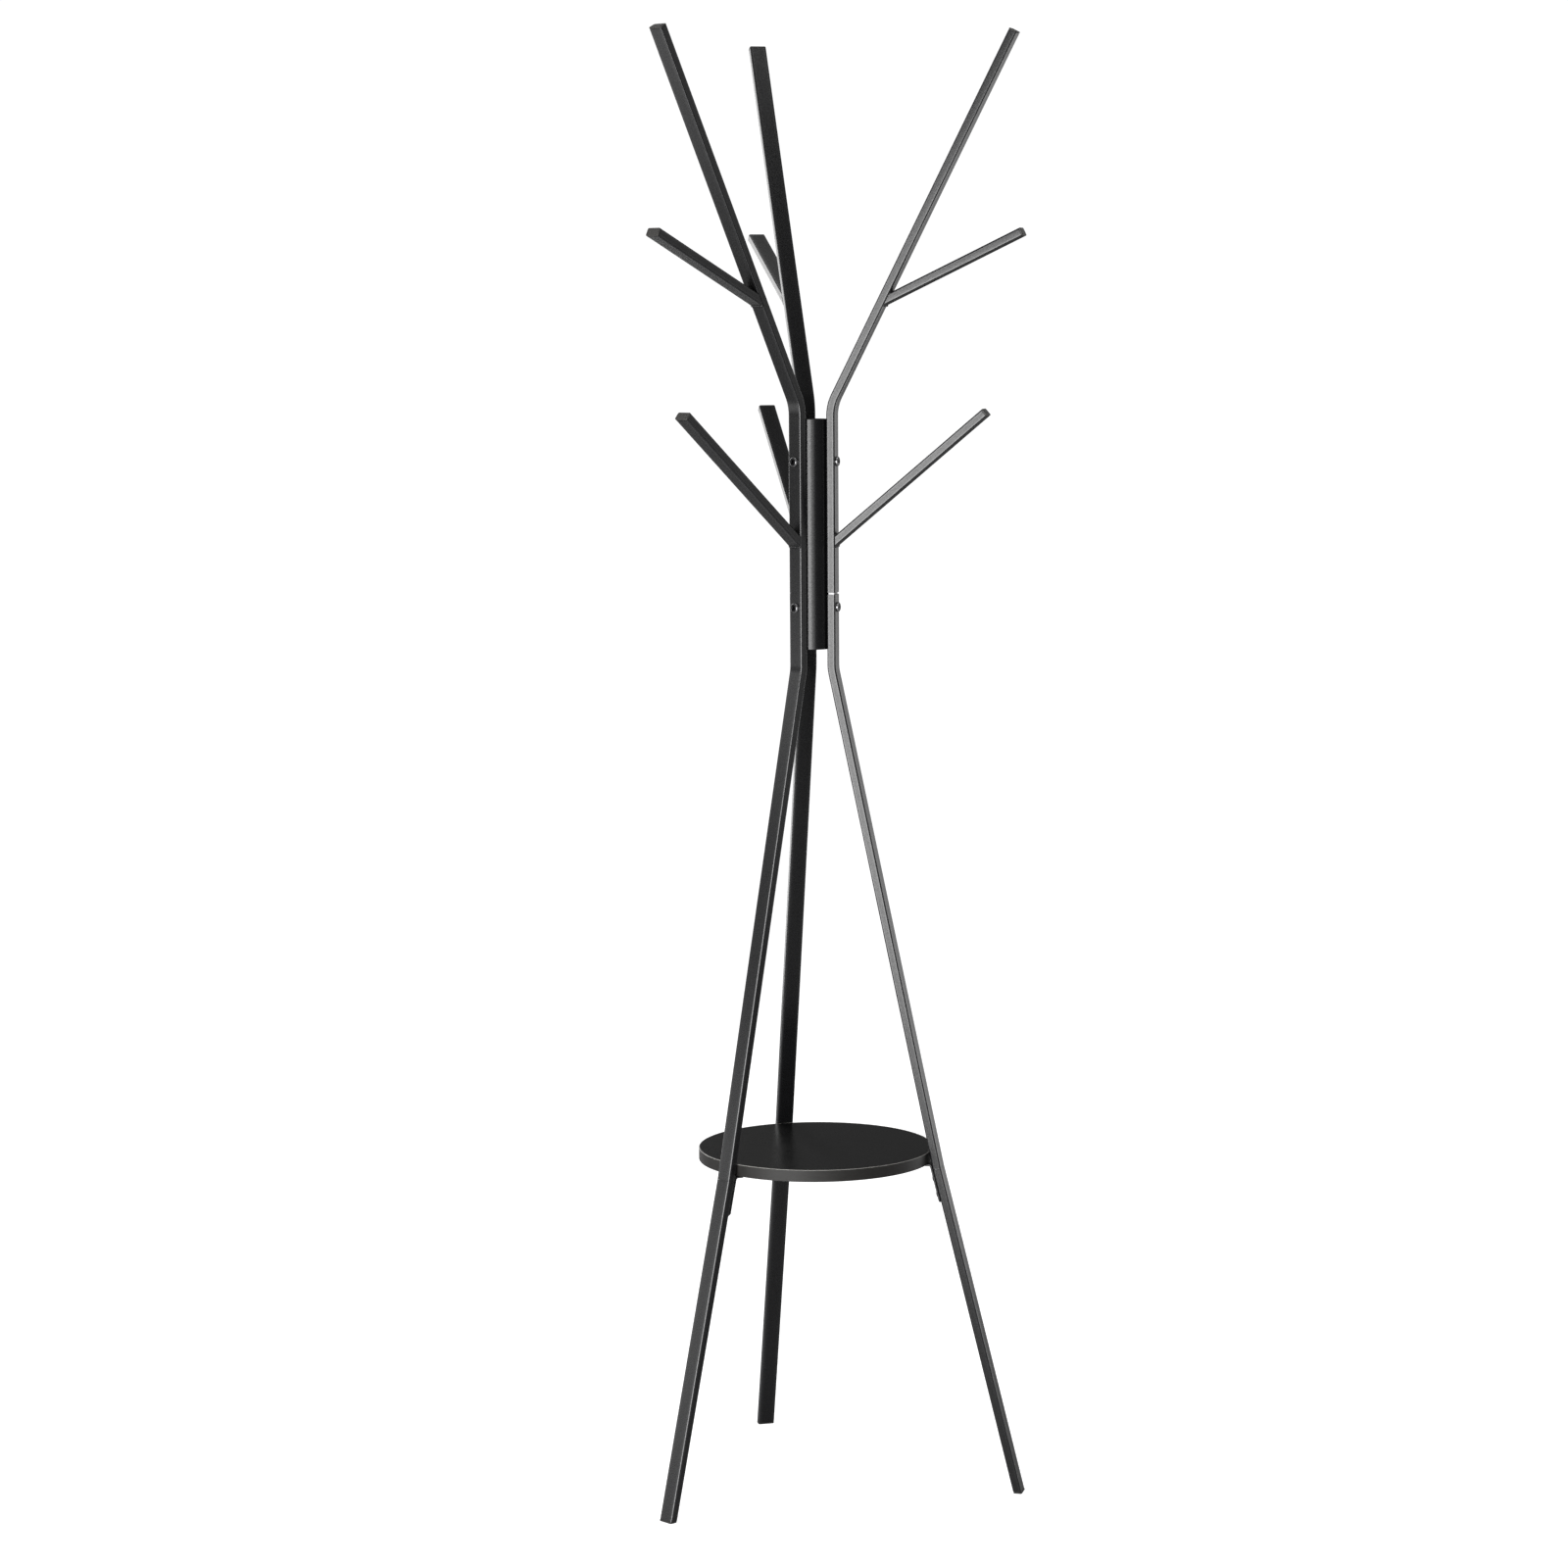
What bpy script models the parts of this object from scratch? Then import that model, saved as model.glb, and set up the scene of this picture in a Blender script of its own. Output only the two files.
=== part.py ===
"""Free-standing coat tree: three bolted branches with six hooks, three legs and a round shelf.

Everything repeats three times about the upright centre tube. Each arm has an empty on the
tube's axis, turned so that its own X points outward, and its pieces are children of it:
in an arm's frame x runs outward, y across the arm and z up from the floor. Metres.
"""
import math

import bmesh
import bpy
from mathutils import Matrix, Vector

MM = 0.001

# ---- driving dimensions -------------------------------------------------------------------
ARMS = {"left": 210.0, "right": 330.0, "rear": 90.0}    # compass of each arm, degrees
AXIS_Y = -56.55 * MM        # the tube's axis, so that the origin is under the box's centre
GAP = 0.3 * MM              # clearance kept wherever two pieces meet

SPINE_R = 19.0 * MM         # upright centre tube
SPINE_WALL = 1.5 * MM
SPINE_BOTTOM = 994.0 * MM
SPINE_TOP = 1261.0 * MM

BAR_W = 20.0 * MM           # flat tube of every branch, hook and leg: across the arm
BAR_D = 10.0 * MM           # and in the arm's own plane
BAR_CORNER = 2.0 * MM
BAR_WALL = 1.5 * MM
BAR_X = SPINE_R + GAP + BAR_D / 2           # centre line of the upright stretch
BEND_R = 50.0 * MM          # centre-line radius of both bends

JOINT_Z = 1060.0 * MM       # where a branch stands on its leg
JOINT_OPEN = {"left": 0.4 * MM, "right": 2.2 * MM, "rear": 1.0 * MM}
BRANCH_BEND_Z = 1277.0 * MM
BRANCH_LEAN = math.radians(27.0)            # every lean is measured from upright
BRANCH_TOP_Z = 1697.5 * MM
LEG_BEND_Z = 971.0 * MM
LEG_LEAN = math.radians(12.0)
KNEE_Z = 385.0 * MM         # upper and lower leg tubes meet here, just under the shelf
FOOT_LEAN = math.radians(14.1)

# height where a hook's centre line meets its branch's, lean, length, lean of the branch there
HOOKS = {
    "upper": (1394.6 * MM, math.radians(64.5), 181.0 * MM, BRANCH_LEAN),
    "lower": (1116.0 * MM, math.radians(50.0), 236.0 * MM, 0.0),
}

PLUG_FLANGE = 2.0 * MM      # plastic end plug: what shows outside the tube
PLUG_STUB = 12.0 * MM
INSERT_LENGTH = 80.0 * MM   # steel bar inside the branch and leg joint
KNEE_BAR_UP = 38.0 * MM     # steel bar inside the knee: reach above and below it
KNEE_BAR_DOWN = 34.0 * MM
KNEE_BAR_D = 5.2 * MM

BOLT_Z = {"branch": 1212.0 * MM, "leg": 1043.0 * MM}
BOLT_HEAD_R = 5.7 * MM
BOLT_HEAD_H = 3.0 * MM
BOLT_SHANK_R = 2.85 * MM
BOLT_HOLE_R = 3.3 * MM
BOLT_TIP_X = 10.5 * MM
SOCKET_R = 2.3 * MM         # hex socket, centre to corner
SOCKET_DEPTH = 2.0 * MM
NUT_R = 5.77 * MM           # hexagon nut, centre to corner
NUT_X = 16.1 * MM           # its outer face
NUT_H = 5.0 * MM

SHELF_TOP = 404.0 * MM
SHELF_R = 138.5 * MM
SHELF_THICK = 14.0 * MM
SHELF_UNDER = SHELF_TOP - SHELF_THICK
EDGE_BAND = 1.1 * MM

STRIP_W = 20.0 * MM         # bent strip bracket
STRIP_THICK = 2.0 * MM
STRIP_TAB_X = 111.0 * MM    # inner end of the tab under the board
STRIP_FOOT_Z = 345.0 * MM   # lower end of the tab on the leg
STRIP_BEND = 3.0 * MM
STRIP_CHAMFER = 3.0 * MM

LEG_SCREW_Z = {"top": 373.5 * MM, "bottom": 355.0 * MM}
SHELF_SCREW_X = 125.0 * MM
SCREW_HEAD_R = 4.0 * MM
SCREW_HEAD_H = 2.4 * MM
SCREW_SHANK_R = 1.9 * MM
SCREW_HOLE_R = 2.2 * MM

# ---- clean start ----------------------------------------------------------------------------
for old in list(bpy.data.objects):
    bpy.data.objects.remove(old, do_unlink=True)

parts = bpy.data.collections.new("coat_tree")
cutters = bpy.data.collections.new("cutters")
bpy.context.scene.collection.children.link(parts)
bpy.context.scene.collection.children.link(cutters)


def material(name, colour, rough, metal):
    mat = bpy.data.materials.new(name)
    mat.use_nodes = True
    shader = mat.node_tree.nodes["Principled BSDF"]
    shader.inputs["Base Color"].default_value = (*colour, 1.0)
    shader.inputs["Roughness"].default_value = rough
    shader.inputs["Metallic"].default_value = metal
    return mat


POWDER = material("black_powder_coat", (0.03, 0.03, 0.033), 0.45, 0.0)
PLASTIC = material("black_plastic", (0.035, 0.034, 0.033), 0.5, 0.0)
BOARD = material("black_board", (0.012, 0.012, 0.012), 0.4, 0.0)
BAND = material("edge_band", (0.035, 0.031, 0.028), 0.45, 0.0)
ZINC = material("zinc_steel", (0.62, 0.63, 0.65), 0.3, 1.0)
SCREW = material("black_screw", (0.03, 0.03, 0.032), 0.3, 1.0)

# ---- one empty for each arm ------------------------------------------------------------------
frames = {}
for arm, compass in ARMS.items():
    frame = bpy.data.objects.new("arm_" + arm, None)
    frame.location = (0.0, AXIS_Y, 0.0)
    frame.rotation_euler.z = math.radians(compass)
    parts.objects.link(frame)
    frames[arm] = frame


def add(name, data, mat, parent=None, location=(0, 0, 0), lean=0.0, group=parts):
    """New object; lean tips its own Z outward from upright, in the arm's plane."""
    obj = bpy.data.objects.new(name, data)
    if not data.materials:
        data.materials.append(mat)
    obj.location = location
    obj.rotation_euler.y = lean
    obj.parent = parent
    group.objects.link(obj)
    return obj


def baked(obj):
    """The object's evaluated mesh, in its own frame; the object itself is removed."""
    bpy.context.view_layer.update()
    graph = bpy.context.evaluated_depsgraph_get()
    mesh = bpy.data.meshes.new_from_object(obj.evaluated_get(graph))
    bm = bmesh.new()
    bm.from_mesh(mesh)
    bmesh.ops.remove_doubles(bm, verts=bm.verts, dist=1e-6)
    bm.to_mesh(mesh)
    bm.free()
    mesh.name = obj.name
    bpy.data.objects.remove(obj, do_unlink=True)
    return mesh


def shade(mesh, angle=40):
    mesh.shade_smooth()
    mesh.set_sharp_from_angle(angle=math.radians(angle))
    return mesh


def cutter(name, mesh):
    """Helper body for a Boolean, kept out of the render."""
    obj = add(name, mesh, SCREW, group=cutters)
    obj.hide_render = True
    obj.display_type = "WIRE"
    return obj


def boolean(obj, other, operation="DIFFERENCE"):
    mod = obj.modifiers.new(operation.lower(), "BOOLEAN")
    mod.operation = operation
    mod.solver = "EXACT"
    mod.object = other
    return mod


def cylinder(name, radius, length, sides=16):
    """Round bar from the origin up its own Z."""
    bm = bmesh.new()
    bmesh.ops.create_cone(bm, cap_ends=True, segments=sides, radius1=radius, radius2=radius,
                          depth=length, matrix=Matrix.Translation((0, 0, length / 2)))
    mesh = bpy.data.meshes.new(name)
    bm.to_mesh(mesh)
    bm.free()
    return mesh


def box(name, size, centre=(0, 0, 0)):
    bm = bmesh.new()
    bmesh.ops.create_cube(bm, size=1.0,
                          matrix=Matrix.Translation(centre) @ Matrix.Diagonal((*size, 1.0)))
    mesh = bpy.data.meshes.new(name)
    bm.to_mesh(mesh)
    bm.free()
    return mesh


# ---- flat tube --------------------------------------------------------------------------------
def rounded_rectangle(name, depth, width, corner, steps=3, clockwise=False, **settings):
    """2D curve, depth along its X and width along its Y."""
    curve = bpy.data.curves.new(name, "CURVE")
    curve.dimensions = "2D"
    curve.fill_mode = "BOTH"
    for key, value in settings.items():
        setattr(curve, key, value)
    points = []
    for quarter in range(4):
        cx = (depth / 2 - corner) * (1 if quarter in (0, 3) else -1)
        cy = (width / 2 - corner) * (1 if quarter in (0, 1) else -1)
        for i in range(steps + 1):
            a = math.pi / 2 * (quarter + i / steps)
            points.append((cx + corner * math.cos(a), cy + corner * math.sin(a)))
    if clockwise:
        points.reverse()
    spline = curve.splines.new("POLY")
    spline.points.add(len(points) - 1)
    for point, (x, y) in zip(spline.points, points):
        point.co = (x, y, 0.0, 1.0)
    spline.use_cyclic_u = True
    return curve


outline = cutter("bar_outline", rounded_rectangle("bar_outline", BAR_D, BAR_W, BAR_CORNER,
                                                  clockwise=True, fill_mode="NONE"))


UPRIGHT = Matrix.Rotation(math.pi / 2, 4, "X")      # stands a flat drawing up in the arm's plane


def flat_line(name, line):
    """2D curve through (x, z) points, drawn flat: UPRIGHT stands its mesh up."""
    curve = bpy.data.curves.new(name, "CURVE")
    curve.dimensions = "2D"
    curve.fill_mode = "NONE"
    spline = curve.splines.new("POLY")
    spline.points.add(len(line) - 1)
    for point, (x, z) in zip(spline.points, line):
        point.co = (x, z, 0.0, 1.0)
    return curve


def bar_tube(name, line):
    """Mesh of a flat steel tube along a line of (x, z) points."""
    curve = flat_line(name, line)
    curve.bevel_mode = "OBJECT"
    curve.bevel_object = outline
    skin = baked(add(name, curve, POWDER))
    skin.transform(UPRIGHT)
    tube = add(name, skin, POWDER)
    wall = tube.modifiers.new("wall", "SOLIDIFY")
    wall.thickness = BAR_WALL
    wall.offset = -1.0
    wall.use_even_offset = True
    return baked(tube)


def bend(z, lean, steps=6):
    """Points round the bend between upright and lean, whose straight runs cross at z."""
    back = BEND_R * math.tan(abs(lean) / 2)
    side = 1 if lean > 0 else -1
    points = []
    for i in range(steps + 1):
        a = abs(lean) * i / steps
        points.append((BAR_X + BEND_R * (1 - math.cos(a)), z - side * (back - BEND_R * math.sin(a))))
    return points


def branch_x(z):
    return BAR_X + (z - BRANCH_BEND_Z) * math.tan(BRANCH_LEAN)


def leg_x(z):
    """Centre line of the upper leg down to the knee, and of the lower leg under it."""
    x = BAR_X + (LEG_BEND_Z - max(z, KNEE_Z)) * math.tan(LEG_LEAN)
    return x + max(KNEE_Z - z, 0.0) * math.tan(FOOT_LEAN)


def drill(obj, name, radius, start, end):
    """Cuts a round hole along the line between two (x, z) points of the arm's frame."""
    dx, dz = end[0] - start[0], end[1] - start[1]
    hole = cutter(name, cylinder(name, radius, math.hypot(dx, dz)))
    hole.parent = obj.parent
    hole.location = (start[0], 0.0, start[1])
    hole.rotation_euler.y = math.atan2(dx, dz)
    boolean(obj, hole)


# ---- centre tube: round steel tube that every arm is bolted to ----------------------------------
bm = bmesh.new()
length = SPINE_TOP - SPINE_BOTTOM
bmesh.ops.create_cone(bm, cap_ends=False, segments=36, radius1=SPINE_R, radius2=SPINE_R,
                      depth=length)
mesh = bpy.data.meshes.new("centre_tube")
bm.to_mesh(mesh)
bm.free()
spine = add("centre_tube", shade(mesh), POWDER, location=(0, AXIS_Y, SPINE_BOTTOM + length / 2))
wall = spine.modifiers.new("wall", "SOLIDIFY")
wall.thickness = SPINE_WALL
wall.offset = -1.0
for arm in ARMS:
    for piece, z in BOLT_Z.items():
        hole = cutter(f"cut_centre_tube_{arm}_{piece}",
                      cylinder("cut", BOLT_HOLE_R, 8 * MM))
        hole.parent = frames[arm]
        hole.location = (14 * MM, 0.0, z)
        hole.rotation_euler.y = math.pi / 2
        boolean(spine, hole)

# ---- branches: bent once, standing on the legs ---------------------------------------------------
BOLT_LINE = (17 * MM, 32 * MM)
for arm in ARMS:
    line = [(BAR_X, JOINT_Z)] + bend(BRANCH_BEND_Z, BRANCH_LEAN)
    line.append((branch_x(BRANCH_TOP_Z), BRANCH_TOP_Z))
    branch = add("branch_" + arm, shade(bar_tube("branch_" + arm, line)), POWDER, frames[arm])
    z = BOLT_Z["branch"]
    drill(branch, "cut_branch_" + arm, BOLT_HOLE_R, (BOLT_LINE[0], z), (BOLT_LINE[1], z))

# ---- upper legs: bent once, down to the knee ------------------------------------------------------
KNEE_GAP = 0.25 * MM
for arm in ARMS:
    line = [(BAR_X, JOINT_Z - JOINT_OPEN[arm])] + bend(LEG_BEND_Z, -LEG_LEAN)
    line.append((leg_x(KNEE_Z) - KNEE_GAP * math.tan(LEG_LEAN), KNEE_Z + KNEE_GAP))
    leg = add("leg_upper_" + arm, shade(bar_tube("leg_upper_" + arm, line)), POWDER, frames[arm])
    z = BOLT_Z["leg"]
    drill(leg, "cut_leg_upper_" + arm, BOLT_HOLE_R, (BOLT_LINE[0], z), (BOLT_LINE[1], z))

# ---- lower legs: straight, cut level with the floor at the foot -------------------------------------


def leg_screw_line(z, near, far):
    """Two points on the screw's line, measured from the leg's centre line outward."""
    x = leg_x(z)
    return [(x + s * math.cos(FOOT_LEAN), z + s * math.sin(FOOT_LEAN)) for s in (near, far)]


for arm in ARMS:
    line = [(leg_x(KNEE_Z - KNEE_GAP), KNEE_Z - KNEE_GAP), (leg_x(-20 * MM), -20 * MM)]
    shin = add("leg_lower_" + arm, shade(bar_tube("leg_lower_" + arm, line)), POWDER, frames[arm])
    sole = cutter("cut_foot_" + arm, box("cut_foot", (0.1, 0.1, 0.1)))
    sole.parent = frames[arm]
    sole.location = (leg_x(0), 0.0, PLUG_FLANGE + GAP - 0.05)
    boolean(shin, sole)
    for place, z in LEG_SCREW_Z.items():
        drill(shin, f"cut_leg_lower_{arm}_{place}", SCREW_HOLE_R,
              *leg_screw_line(z, -9 * MM, 0.0))

# ---- steel bars inside the joints --------------------------------------------------------------------
BAR_SLOT_W = BAR_W - 2 * BAR_WALL - 2 * GAP
BAR_SLOT_D = BAR_D - 2 * BAR_WALL - 2 * GAP
for arm in ARMS:
    bar = add("arm_insert_" + arm, box("arm_insert", (BAR_SLOT_D, BAR_SLOT_W, INSERT_LENGTH)),
              ZINC, frames[arm], (BAR_X, 0.0, JOINT_Z))
    z = BOLT_Z["leg"]
    drill(bar, "cut_arm_insert_" + arm, BOLT_HOLE_R, (BOLT_LINE[0], z), (BOLT_LINE[1], z))

    knee_lean = -(LEG_LEAN + FOOT_LEAN) / 2
    reach = KNEE_BAR_UP + KNEE_BAR_DOWN
    middle = (KNEE_BAR_UP - KNEE_BAR_DOWN) / 2
    bar = add("leg_insert_" + arm,
              box("leg_insert", (KNEE_BAR_D, BAR_SLOT_W, reach), (0, 0, middle)),
              ZINC, frames[arm], (leg_x(KNEE_Z), 0.0, KNEE_Z), knee_lean)
    for place, z in LEG_SCREW_Z.items():
        drill(bar, f"cut_leg_insert_{arm}_{place}", SCREW_HOLE_R,
              *leg_screw_line(z, -9 * MM, 9 * MM))

# ---- hooks: straight tubes, their root cut to lie on the branch and welded there -----------------------
hook_tips = {}
for level, (z, lean, length, base_lean) in HOOKS.items():
    x = branch_x(z) if base_lean else BAR_X
    hook_tips[level] = (x + length * math.sin(lean), z + length * math.cos(lean), lean)
    blank = add(level + "_hook", bar_tube(level + "_hook", [(0.0, -20 * MM), (0.0, length)]), POWDER)
    side = cutter("cut_" + level + "_hook", box("cut_hook", (0.1, 0.1, 0.1)))
    off = BAR_D / 2 + GAP - 0.05
    angle = base_lean - lean
    side.location = (off * math.cos(angle), 0.0, -off * math.sin(angle))
    side.rotation_euler.y = angle
    boolean(blank, side)
    mesh = shade(baked(blank))
    for arm in ARMS:
        add(f"{level}_hook_{arm}", mesh, POWDER, frames[arm], (x, 0.0, z), lean)

# ---- plastic end plugs: a stub in the tube under a thin flange with a rounded rim ------------------------
EDGE = 0.5 * MM


def plug_flange(name, depth):
    """Flange from GAP to GAP + PLUG_FLANGE up its own Z, rounded on its edges."""
    half = PLUG_FLANGE / 2
    curve = rounded_rectangle(name, depth - 2 * EDGE, BAR_W - 2 * EDGE, BAR_CORNER - EDGE,
                              extrude=half - EDGE, bevel_depth=EDGE, bevel_resolution=0)
    mesh = baked(add(name, curve, PLASTIC))
    mesh.transform(Matrix.Translation((0, 0, GAP + half)))
    return mesh


stub = box("plug_stub", (BAR_SLOT_D, BAR_SLOT_W, PLUG_STUB + GAP + PLUG_FLANGE / 2),
           (0, 0, (GAP + PLUG_FLANGE / 2 - PLUG_STUB) / 2))
plug = add("end_plug", plug_flange("end_plug", BAR_D), PLASTIC)
boolean(plug, cutter("join_plug_stub", stub), "UNION")
plug_mesh = shade(baked(plug), 30)
hook_tips["branch"] = (branch_x(BRANCH_TOP_Z), BRANCH_TOP_Z, BRANCH_LEAN)
for level, (x, z, lean) in hook_tips.items():
    kind = "branch_plug_" if level == "branch" else level + "_hook_plug_"
    for arm in ARMS:
        add(kind + arm, plug_mesh, PLASTIC, frames[arm], (x, 0.0, z), lean)

# ---- foot plugs: the flange lies flat on the floor, the stub leans up the leg -----------------------------
foot = add("foot_plug", plug_flange("foot_plug", BAR_D / math.cos(FOOT_LEAN)), PLASTIC)
lift = cutter("join_foot_stub", box("foot_stub", (BAR_SLOT_D, BAR_SLOT_W, 18 * MM), (0, 0, 10 * MM)))
lift.location = (0.0, 0.0, GAP)
lift.rotation_euler.y = -FOOT_LEAN
boolean(foot, lift, "UNION")
foot_mesh = shade(baked(foot), 30)
for arm in ARMS:
    add("foot_plug_" + arm, foot_mesh, PLASTIC, frames[arm], (leg_x(0.0), 0.0, -GAP))

# ---- shelf: round board with a band glued round its edge ----------------------------------------------------
board = add("shelf_board", cylinder("shelf_board", SHELF_R - EDGE_BAND - GAP, SHELF_THICK, 72),
            BOARD, location=(0, AXIS_Y, SHELF_UNDER))
shade(board.data)
for arm in ARMS:
    hole = cutter("cut_shelf_board_" + arm, cylinder("cut", SCREW_HOLE_R, 14 * MM))
    hole.parent = frames[arm]
    hole.location = (SHELF_SCREW_X, 0.0, SHELF_UNDER - 3.5 * MM)
    boolean(board, hole)

bm = bmesh.new()
bmesh.ops.create_cone(bm, cap_ends=False, segments=72, radius1=SHELF_R, radius2=SHELF_R,
                      depth=SHELF_THICK)
mesh = bpy.data.meshes.new("shelf_edge_band")
bm.to_mesh(mesh)
bm.free()
band = add("shelf_edge_band", shade(mesh), BAND,
           location=(0, AXIS_Y, SHELF_UNDER + SHELF_THICK / 2))
wall = band.modifiers.new("thickness", "SOLIDIFY")
wall.thickness = EDGE_BAND
wall.offset = -1.0

# ---- shelf brackets: one steel strip each, a tab under the board and a tab down the leg ----------------------
tab_z = SHELF_UNDER - GAP - STRIP_THICK / 2
strip_off = (BAR_D / 2 + GAP + STRIP_THICK / 2) / math.cos(FOOT_LEAN)


def strip_x(z):
    return leg_x(KNEE_Z) + (KNEE_Z - z) * math.tan(FOOT_LEAN) - strip_off


turn = math.pi / 2 - FOOT_LEAN
back = STRIP_BEND * math.tan(turn / 2)
line = [(STRIP_TAB_X, tab_z)]
for i in range(5):
    a = turn * i / 4
    line.append((strip_x(tab_z) - back + STRIP_BEND * math.sin(a),
                 tab_z - STRIP_BEND * (1 - math.cos(a))))
line.append((strip_x(STRIP_FOOT_Z), STRIP_FOOT_Z))

curve = flat_line("shelf_bracket", line)
curve.extrude = STRIP_W / 2
ribbon = baked(add("shelf_bracket", curve, POWDER))
ribbon.transform(UPRIGHT)
strip = add("shelf_bracket", ribbon, POWDER)
wall = strip.modifiers.new("thickness", "SOLIDIFY")
wall.thickness = STRIP_THICK
wall.offset = 0.0
wall.use_even_offset = True
strip_mesh = baked(strip)

bm = bmesh.new()
bm.from_mesh(strip_mesh)
ends = (Vector((line[0][0], 0, line[0][1])), Vector((line[-1][0], 0, line[-1][1])))
corners = []
for edge in bm.edges:
    a, b = edge.verts[0].co, edge.verts[1].co
    middle = (a + b) / 2
    flat = Vector((middle.x, 0, middle.z))
    if abs(a.y - b.y) < 1e-6 and abs(middle.y) > STRIP_W / 2 - 1e-6:
        if min((flat - end).length for end in ends) < 1e-5:
            corners.append(edge)
bmesh.ops.bevel(bm, geom=corners, offset=STRIP_CHAMFER, segments=1, affect="EDGES")
bm.to_mesh(strip_mesh)
bm.free()
shade(strip_mesh, 25)
for arm in ARMS:
    strip = add("shelf_bracket_" + arm, strip_mesh, POWDER, frames[arm])
    drill(strip, "cut_bracket_tab_" + arm, SCREW_HOLE_R,
          (SHELF_SCREW_X, tab_z - 3 * MM), (SHELF_SCREW_X, tab_z + 3 * MM))
    for place, z in LEG_SCREW_Z.items():
        drill(strip, f"cut_bracket_{arm}_{place}", SCREW_HOLE_R,
              *leg_screw_line(z, -10 * MM, -3 * MM))


# ---- fasteners: turned bodies with a hexagon socket or a plain pan head -----------------------------------------
def turned(name, profile, mat, sides):
    """Mesh of a profile of (radius, height) points turned about its own Z, top point first."""
    mesh = bpy.data.meshes.new(name)
    mesh.from_pydata([(r, 0.0, z) for r, z in profile],
                     [(i, i + 1) for i in range(len(profile) - 1)], [])
    obj = add(name, mesh, mat)
    screw = obj.modifiers.new("turn", "SCREW")
    screw.steps = sides
    screw.render_steps = sides
    screw.use_merge_vertices = True
    screw.merge_threshold = 0.00001
    return baked(obj)


shank = BAR_X + BAR_D / 2 + GAP - BOLT_TIP_X
bolt = add("arm_bolt", turned("arm_bolt", [
    (0.0, BOLT_HEAD_H),
    (BOLT_HEAD_R * 0.5, BOLT_HEAD_H),
    (BOLT_HEAD_R * 0.8, BOLT_HEAD_H * 0.78),
    (BOLT_HEAD_R, BOLT_HEAD_H * 0.25),
    (BOLT_HEAD_R, 0.0),
    (BOLT_SHANK_R, 0.0),
    (BOLT_SHANK_R, -shank),
    (0.0, -shank),
], SCREW, 20), SCREW)
socket = cutter("cut_socket", cylinder("cut_socket", SOCKET_R, 4 * MM, 6))
socket.location = (0.0, 0.0, BOLT_HEAD_H - SOCKET_DEPTH)
boolean(bolt, socket)
bolt_mesh = shade(baked(bolt))

nut = add("nut", cylinder("nut", NUT_R, NUT_H, 6), ZINC)
thread = cutter("cut_nut", cylinder("cut_nut", BOLT_SHANK_R + GAP, NUT_H + 2 * MM))
thread.location = (0.0, 0.0, -MM)
boolean(nut, thread)
nut_mesh = baked(nut)

for arm in ARMS:
    for piece, z in BOLT_Z.items():
        add(f"{piece}_bolt_{arm}", bolt_mesh, SCREW, frames[arm],
            (BAR_X + BAR_D / 2 + GAP, 0.0, z), math.pi / 2)
        add(f"{piece}_nut_{arm}", nut_mesh, ZINC, frames[arm],
            (NUT_X - NUT_H, 0.0, z), math.pi / 2)


def pan_screw(name, length):
    """Head above its own origin, shank below."""
    return shade(turned(name, [
        (0.0, SCREW_HEAD_H),
        (SCREW_HEAD_R * 0.75, SCREW_HEAD_H * 0.85),
        (SCREW_HEAD_R, SCREW_HEAD_H * 0.4),
        (SCREW_HEAD_R, 0.0),
        (SCREW_SHANK_R, 0.0),
        (SCREW_SHANK_R, 2 * MM - length),
        (0.0, -length),
    ], SCREW, 12))


seat_off = BAR_D / 2 + STRIP_THICK + 2 * GAP
leg_screw = pan_screw("bracket_leg_screw", 10.4 * MM)
shelf_screw = pan_screw("bracket_shelf_screw", 12.5 * MM)
for arm in ARMS:
    for place, z in LEG_SCREW_Z.items():
        seat, middle = leg_screw_line(z, -seat_off, 0.0)
        add(f"bracket_leg_screw_{arm}_{place}", leg_screw, SCREW, frames[arm],
            (seat[0], 0.0, seat[1]), -(math.pi / 2 + FOOT_LEAN))
    add("bracket_shelf_screw_" + arm, shelf_screw, SCREW, frames[arm],
        (SHELF_SCREW_X, 0.0, tab_z - STRIP_THICK / 2 - GAP), math.pi)
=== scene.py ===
import math

import bmesh
import bpy
from mathutils import Matrix, Vector


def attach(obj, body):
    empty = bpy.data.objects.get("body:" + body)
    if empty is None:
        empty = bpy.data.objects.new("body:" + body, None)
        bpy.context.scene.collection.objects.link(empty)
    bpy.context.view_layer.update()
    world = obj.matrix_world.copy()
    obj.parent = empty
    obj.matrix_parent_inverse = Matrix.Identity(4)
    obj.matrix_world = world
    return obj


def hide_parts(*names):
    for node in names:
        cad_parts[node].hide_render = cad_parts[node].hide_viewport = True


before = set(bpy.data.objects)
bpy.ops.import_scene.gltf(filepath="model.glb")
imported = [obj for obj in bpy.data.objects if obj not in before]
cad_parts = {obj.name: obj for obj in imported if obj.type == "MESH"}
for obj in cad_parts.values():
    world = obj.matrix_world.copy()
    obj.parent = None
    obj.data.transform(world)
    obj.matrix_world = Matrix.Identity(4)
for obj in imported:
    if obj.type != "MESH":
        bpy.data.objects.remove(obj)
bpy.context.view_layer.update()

# ---- Centre tube -----------------------------------------------------------------------------
# A short length of 38 x 1.5 mm round steel tube, sawn square, its rims broken with a file, then
# powder coated satin black all over. The three arms are bolted against it.
MM = 0.001
AXIS_Y = -56.55 * MM
GAP = 0.3 * MM
RIM_BREAK = 0.45 * MM
SPINE_R = 19.0 * MM
SPINE_WALL = 1.5 * MM
SPINE_ENDS = (994.0 * MM, 1261.0 * MM)


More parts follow.
